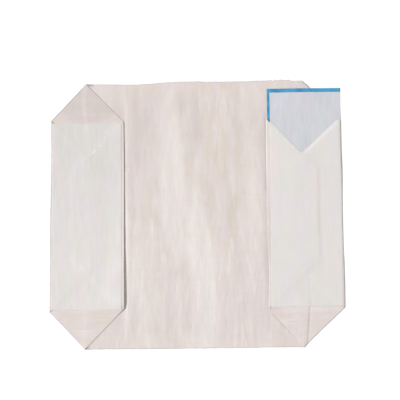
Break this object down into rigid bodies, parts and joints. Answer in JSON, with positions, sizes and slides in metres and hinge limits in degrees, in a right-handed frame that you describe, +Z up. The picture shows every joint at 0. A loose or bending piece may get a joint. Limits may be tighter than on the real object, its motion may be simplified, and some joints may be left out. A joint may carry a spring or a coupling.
{
  "type": "valve bag",
  "caption": "Empty block-bottom valve bag of coated woven polypropylene, lying flat, with folded ends, cover patches and a filling sleeve edged in blue tape.",
  "frame": {"origin": "middle of the underside, on the surface that the bag lies on", "axes": "+X along the woven tube to the valve end, +Y across the bag to the side with the valve, +Z up from the back panel to the folded ends"},
  "size_m": [0.44, 0.4, 0.0057],
  "materials": {
    "woven_fabric": "off-white woven polypropylene tapes under a thin clear coating, satin",
    "patch_fabric": "off-white coated woven polypropylene, smooth satin",
    "sleeve_fabric": "bluish grey coated fabric, matt",
    "edge_tape": "plain blue tape, satin"
  },
  "bodies": {
    "root": {"bag_tube": "woven_fabric", "closed_end_patch": "patch_fabric", "valve_end_patch": "patch_fabric", "valve_sleeve": "sleeve_fabric", "valve_edge_tape": "edge_tape"}
  },
  "joints": []
}
